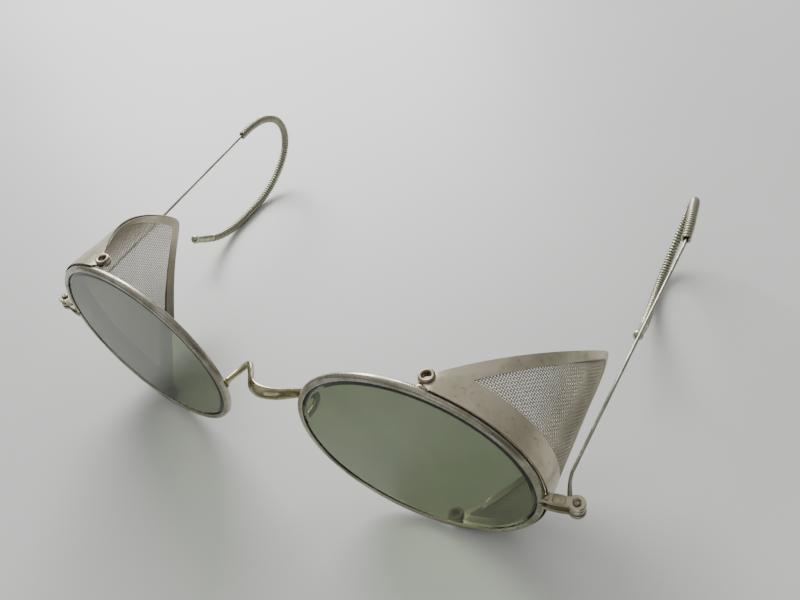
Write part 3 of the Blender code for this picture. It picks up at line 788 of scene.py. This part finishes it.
def make_sheet(side_name):
    """The outer skin, with its window and an ear with a hole at each end."""
    corner = round(window_half_arc(), 6)
    ear = [PIVOT_ARC + EAR_RADIUS * math.sin(math.radians(t)) for t in (*range(0, 86, 12), 90)]
    bend = [CREASE_ARC + d for d in (-CREASE_HALF, CREASE_HALF, 1.2 * MM)]
    far = [float(a) for a in np.linspace(corner, CREASE_ARC - 0.5 * MM, 6)] + bend + ear
    middle = spread(corner)
    front = [(a, graded(sheet_edges(a)[0], WINDOW_FRONT, 3)) for a in middle]
    rear = [(a, graded(window_back(a, corner), sheet_edges(a)[1], 2)) for a in middle]
    strips = [front, rear]
    corner_back = sheet_edges(corner)[1]
    for sign in (1, -1):
        wing = []
        for a in far:
            low, high = sheet_edges(a)
            split = low + (high - low) * (WINDOW_FRONT - SHIELD_FRONT) / (corner_back - SHIELD_FRONT)
            wing.append((sign * a, graded(low, split, 3) + graded(split, high, 2)[1:]))
        strips.append(wing if sign > 0 else wing[::-1])
    skin_shape = closed_panel(strips, SKIN_INNER, SKIN_OUTER)
    matrix = lens_matrix(side_name)
    obj = make_piece(f"{side_name}_shield_skin", [placed(skin_shape, matrix)], METALS["sheet"],
                     [f"{side_name}_shield_frame"], sharp=28)
    holes = []
    for up in (1, -1):
        hole = turned([(EYELET_BARREL + EAR_HOLE_PLAY, z) for z in (-0.6 * MM, 0.6 * MM)])
        holes.append(placed(shifted(hole, (PIVOT_X, PIVOT_Y, up * EAR_HEIGHT)), matrix))
    carve(obj, holes)
    obj.data.set_sharp_from_angle(angle=math.radians(28))
    return soften(obj, 0.045 * MM)


def make_hem(side_name):
    """The skin's edge turned inwards over the rear of the cloth, and a strip along its front."""
    reach = SHIELD_REACH - HEM_INSET
    end = reach - WINDOW_FRONT - 0.4 * MM
    arcs = spread(end)
    rear = [(a, graded(max(float(slant(a, HEM_REACH, HEM_ROUNDING)), HEM_REAR_START),
                       float(slant(a, reach, POINT_ROUNDING)), 2)) for a in arcs]
    front_end = CREASE_ARC - 0.3 * MM
    front = [(a, graded(SHIELD_FRONT + HEM_SETBACK, HEM_FRONT_END, 2)) for a in spread(front_end)]
    matrix = lens_matrix(side_name)
    shapes = [placed(closed_panel([strip], HEM_INNER, HEM_OUTER), matrix) for strip in (rear, front)]
    hem = make_object(f"{side_name}_shield_hem", shapes, METALS["sheet"], 28)
    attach(hem, body_of(frame["nodes"][f"{side_name}_shield_frame"])[0])
    return soften(hem, 0.04 * MM)


def strand_rings(arcs, backs, wave, along_back):
    """A four-sided wire of the cloth, wavy across the sheet."""
    rings = []
    for across, lift in ((1, 0), (0, 1), (-1, 0), (0, -1)):
        side = across * STRAND
        rings.append(sheet_points(arcs + (side if along_back else 0), backs + (0 if along_back else side),
                                  CLOTH_LEVEL + wave + lift * STRAND))
    return np.stack(rings, axis=1)


def make_cloth(side_name):
    """Plain-woven wire cloth: each wire passes over one crossing wire and under the next."""
    shapes = []
    reach = SHIELD_REACH - CLOTH_MARGIN * ALONG_SLANT
    widest = int((reach - CLOTH_FRONT) / PITCH)
    half = PITCH / 2
    for column in range(-widest, widest + 1):
        arc = column * PITCH
        rows = int((float(slant(arc, reach, POINT_ROUNDING)) - CLOTH_FRONT) / half)
        if rows < 2:
            continue
        steps = np.arange(rows + 1)
        wave = STRAND * np.cos(math.pi * (steps / 2 + column))
        backs = CLOTH_FRONT + steps * half
        shapes.append(skin(strand_rings(np.full(rows + 1, arc), backs, wave, True)))
    for row in range(int((reach - CLOTH_FRONT) / PITCH)):
        back = CLOTH_FRONT + row * PITCH
        half_arc = math.sqrt(max((reach + POINT_ROUNDING - back) ** 2 - POINT_ROUNDING ** 2, 0))
        count = int(half_arc / half)
        if count < 1:
            continue
        steps = np.arange(-count, count + 1)
        wave = -STRAND * np.cos(math.pi * (steps / 2 + row))
        shapes.append(skin(strand_rings(steps * half, np.full(len(steps), back), wave, False)))
    matrix = lens_matrix(side_name)
    return make_piece(f"{side_name}_woven_cloth", [placed(s, matrix) for s in shapes], METALS["cloth"],
                      [f"{side_name}_shield_mesh"], sharp=100)


def make_lug(side_name, level, up):
    """The bracket behind the rim that carries the shield's eyelet, with its solder."""
    length = PIVOT_Y - RIM_HALF_DEPTH + SOLDER_BITE
    outline = strap_outline(EAR_RADIUS - 0.1 * MM, EAR_RADIUS - 0.2 * MM, length, -math.pi / 2)
    top = EAR_HEIGHT - EAR_LEVEL - LUG_GAP
    bracket = plate(outline, EYELET_BARREL + LUG_HOLE_PLAY, top - LUG_THICKNESS, top)
    puddle = blob((0, RIM_HALF_DEPTH - PIVOT_Y, top - LUG_THICKNESS), LUG_SOLDER, 4.1 + up)
    shapes = [placed(shifted(shape, (PIVOT_X, PIVOT_Y, 0), mirror_z=up < 0), lens_matrix(side_name))
              for shape in (bracket, puddle)]
    return make_piece(f"{side_name}_{level}_bracket", shapes, METALS["plate"], [f"{side_name}_{level}_lug"])


def make_eyelet(side_name, level, up):
    """A hollow rivet, rolled over at both ends."""
    high = EAR_HEIGHT + EAR_LEVEL + LUG_GAP
    low = EAR_HEIGHT - EAR_LEVEL - 2 * LUG_GAP - LUG_THICKNESS
    middle = (EYELET_BORE + EYELET_FLANGE) / 2
    half = (EYELET_FLANGE - EYELET_BORE) / 2
    barrel = EYELET_BARREL + LUG_HOLE_PLAY
    turns = np.radians(np.arange(0, 181, 20))
    profile = [(middle - half * math.cos(t), high + EYELET_ROLL * math.sin(t) ** 0.6) for t in turns]
    profile += [(barrel, high), (barrel, low)]
    profile += [(middle + half * math.cos(t), low - EYELET_TURN * math.sin(t) ** 0.6) for t in turns]
    rivet = shifted(turned(profile, close=True), (PIVOT_X, PIVOT_Y, 0), mirror_z=up < 0)
    return make_piece(f"{side_name}_{level}_rolled_eyelet", [placed(rivet, lens_matrix(side_name))],
                      METALS["eyelet"], [f"{side_name}_{level}_eyelet"], sharp=60)


# ---- temple --------------------------------------------------------------------------------------
def make_temple(side_name):
    """Wire with its flat hinge eye, the coil wound over its thin end, and the sleeve at the tip."""
    side = SIDES[side_name]
    straight = smooth_path(world(WIRE_ROUTE, side), 150)
    curl = smooth_path(world(HOOK_ROUTE[side_name], side), 900)
    coil_end = path_length(curl) - TIP_LENGTH
    core = stretch(curl, 0.0, coil_end, 260)
    path = np.vstack([straight, core[1:]])
    fade = np.clip(np.arange(len(path)) - len(straight) - 1, 0, 3) / 3
    radii = WIRE_RADIUS + (CORE_RADIUS - WIRE_RADIUS) * fade
    flatness = np.clip(1 - np.arange(len(path)) / 9, 0, 1)
    wide = radii * (1 + 0.5 * flatness)
    thick = radii * (1 - 0.1 * flatness)
    rod = skin(tube_rings(path, wide, thick, 16, reference=(0.72 * side, 0.68, 0.05)))
    outline = strap_outline(EYE_RADIUS - 0.08 * MM, PLATE_HALF_WIDTH * 0.9, TANG_LENGTH, TANG_TURN)
    half = TANG_THICKNESS / 2
    eye = plate(outline, SCREW_RADIUS + SCREW_PLAY, SPLIT_HEIGHT - half, SPLIT_HEIGHT + half)
    eye = placed(shifted(eye, (PIN_X, PIN_Y, 0)), lens_matrix(side_name))
    make_piece(f"{side_name}_temple_rod", [rod, eye], METALS["wire"], [f"{side_name}_temple_wire"], sharp=40)
    make_coil(side_name, curl, coil_end)
    make_tip(side_name, curl, coil_end)


def make_coil(side_name, curl, coil_end):
    """Flattened wire wound round the core, not quite evenly."""
    per_turn = 14
    turns = int((coil_end - COIL_START) / COIL_PITCH)
    count = turns * per_turn + 1
    along = np.linspace(COIL_START, coil_end, count)
    centre = stretch(curl, COIL_START, coil_end, count)
    first, second = path_frames(centre)
    tangents = np.cross(first, second)
    angle = np.arange(count) * math.tau / per_turn
    outward = np.cos(angle)[:, None] * first + np.sin(angle)[:, None] * second
    middle = COIL_OUTER - COIL_HALF_HIGH
    wobble = np.array([COIL_WOBBLE * noise.noise(Vector((s / (1.7 * MM), 0.3, 0.0))) for s in along])
    winding = centre + outward * (middle + wobble)[:, None]
    wire_angles = np.arange(8) * math.tau / 8
    rings = (winding[:, None, :]
             + COIL_HALF_HIGH * np.cos(wire_angles)[None, :, None] * outward[:, None, :]
             + COIL_HALF_LONG * np.sin(wire_angles)[None, :, None] * tangents[:, None, :])
    return make_piece(f"{side_name}_wound_cable", [skin(rings)], METALS["coil"], [f"{side_name}_ear_cable"],
                      sharp=80)


def make_tip(side_name, curl, coil_end):
    """A smooth sleeve over the end of the coil, with a small ball."""
    sleeve = [(0.0, 0.72), (0.0, 0.88), (0.25, 0.93), (0.6, 0.94), (3.6, 0.9), (4.9, 0.84), (5.3, 0.86)]
    ball = [(5.45 + 0.75 - 0.75 * math.cos(math.radians(t)), 0.3 + 0.78 * math.sin(math.radians(t)) ** 0.9)
            for t in range(40, 176, 15)]
    shape = [(s * MM, r * MM) for s, r in sleeve + ball]
    path = np.vstack([stretch(curl, coil_end + s, coil_end + s, 1) for s, _ in shape])
    heading = unit(curl[-1] - curl[-60])
    first = unit(np.cross(heading, (0, 0, 1.0)))
    second = np.cross(heading, first)
    angles = np.arange(24) * math.tau / 24
    ring = np.cos(angles)[:, None] * first + np.sin(angles)[:, None] * second
    rings = [point + r * ring for point, (_, r) in zip(path, shape)]
    return make_piece(f"{side_name}_cable_sleeve", [skin(rings)], METALS["tip"], [f"{side_name}_ear_tip"],
                      sharp=50)


# ---- bridge --------------------------------------------------------------------------------------
def make_bridge():
    """The saddle wire: flattened over the nose, thin in its loops and flared where it is soldered."""
    mirrored = [(-x, y, z) for x, y, z in reversed(BRIDGE_ROUTE)]
    path = smooth_path(world(BRIDGE_ROUTE + [BRIDGE_CREST] + mirrored), 240)
    across = np.abs(np.linspace(-1, 1, len(path)))
    crest = 0.5 + 0.5 * np.cos(math.pi * np.clip(across * 1.12, 0, 1))
    wide = (0.62 + 0.55 * crest) * MM
    thick = (0.6 - 0.06 * crest) * MM
    flare = 1 + 0.75 * np.exp(-((1 - across) * path_length(path) / 2 / (0.75 * MM)) ** 2)
    rings = tube_rings(path, wide * flare, thick * flare, 24, reference=(0, 0.78, 0.62))
    return make_piece("bridge_saddle", [skin(rings)], METALS["bridge"], ["bridge"], sharp=50)


# ---- assembly ------------------------------------------------------------------------------------
def build_side(side_name):
    lower = SPLIT_HEIGHT - TANG_THICKNESS / 2 - HINGE_GAP - PLATE_THICKNESS
    upper = SPLIT_HEIGHT + TANG_THICKNESS / 2 + HINGE_GAP
    make_rim(side_name)
    make_lens(side_name)
    make_end_plate(side_name, "upper", upper)
    make_end_plate(side_name, "lower", lower)
    make_screw(side_name, lower, upper + PLATE_THICKNESS + 0.1 * MM)
    for level, up in (("top", 1), ("bottom", -1)):
        make_lug(side_name, level, up)
        make_eyelet(side_name, level, up)
    make_sheet(side_name)
    make_hem(side_name)
    make_cloth(side_name)
    make_temple(side_name)


# ---- floor, light and camera ---------------------------------------------------------------------
def floor_material():
    material, tree, shader = new_material("pale_table", "")
    coords = object_coords(tree)
    cloudy = remap(tree, noise_value(tree, coords, 14.0, 3.0), 0.3, 0.7)
    colour = mix_colour(tree, cloudy, FLOOR_DIM, FLOOR_PALE)
    tree.links.new(colour, shader.inputs["Base Color"])
    shader.inputs["Roughness"].default_value = 0.38
    shader.inputs["Specular IOR Level"].default_value = 0.35
    return material


def make_floor():
    mesh = bpy.data.meshes.new("table_top")
    corners = [(FLOOR_HALF * x, FLOOR_HALF * y, FLOOR_LEVEL) for x, y in ((-1, -1), (1, -1), (1, 1), (-1, 1))]
    mesh.from_pydata(corners, [], [(0, 1, 2, 3)])
    mesh.materials.append(floor_material())
    floor = bpy.data.objects.new("table_top", mesh)
    bpy.context.scene.collection.objects.link(floor)


def make_lamp(name, place, size, power, colour=(1.0, 1.0, 1.0), aim=(0.0, 0.0, 0.01)):
    light = bpy.data.lights.new(name, "AREA")
    light.shape = "RECTANGLE"
    light.size, light.size_y = size
    light.energy = power
    light.color = colour
    lamp = bpy.data.objects.new(name, light)
    bpy.context.scene.collection.objects.link(lamp)
    lamp.location = place
    lamp.rotation_euler = (Vector(aim) - Vector(place)).to_track_quat("-Z", "Y").to_euler()


def make_world():
    """A bright ceiling over a darker room, so that the metal has something to mirror."""
    room = bpy.data.worlds.new("soft_studio")
    bpy.context.scene.world = room
    room.use_nodes = True
    tree = room.node_tree
    direction = add(tree, "ShaderNodeTexCoord").outputs["Generated"]
    height = add(tree, "ShaderNodeSeparateXYZ", Vector=direction).outputs["Z"]
    ceiling = remap(tree, height, -0.1, 0.85)
    towards = add(tree, "ShaderNodeVectorMath", {"operation": "DOT_PRODUCT"})
    tree.links.new(direction, towards.inputs[0])
    towards.inputs[1].default_value = DARK_SIDE
    dark_end = remap(tree, towards.outputs["Value"], 0.35, 0.85)
    colour = mix_colour(tree, ceiling, WALL_LIGHT, CEILING_LIGHT)
    colour = mix_colour(tree, dark_end, colour, DARK_LIGHT)
    background = tree.nodes["Background"]
    tree.links.new(colour, background.inputs["Color"])
    background.inputs["Strength"].default_value = ROOM_STRENGTH


def make_camera():
    data = bpy.data.cameras.new("camera")
    data.lens = CAMERA_LENS
    data.clip_start = 0.005
    data.clip_end = 20.0
    camera = bpy.data.objects.new("camera", data)
    bpy.context.scene.collection.objects.link(camera)
    camera.location = Vector((0, LENS_LINE, CENTRE_HEIGHT)) + Vector(CAMERA_OFFSET)
    around = Matrix.Rotation(CAMERA_AZIMUTH, 3, "Z")
    tilt = Matrix.Rotation(math.pi / 2 - CAMERA_ELEVATION, 3, "X")
    roll = Matrix.Rotation(CAMERA_ROLL, 3, "Z")
    camera.rotation_euler = (around @ tilt @ roll).to_euler()
    bpy.context.scene.camera = camera


make_camera()
make_bridge()
for name in SIDES:
    build_side(name)
make_floor()
make_world()
make_lamp("window_lamp", place=(-0.48, 0.48, 0.38), size=(0.5, 0.4), power=9.5, aim=(-0.18, 0.26, 0.0))
make_lamp("front_fill", place=(0.25, -0.6, 0.45), size=(0.6, 0.4), power=0.9, colour=(1.0, 0.985, 0.95))
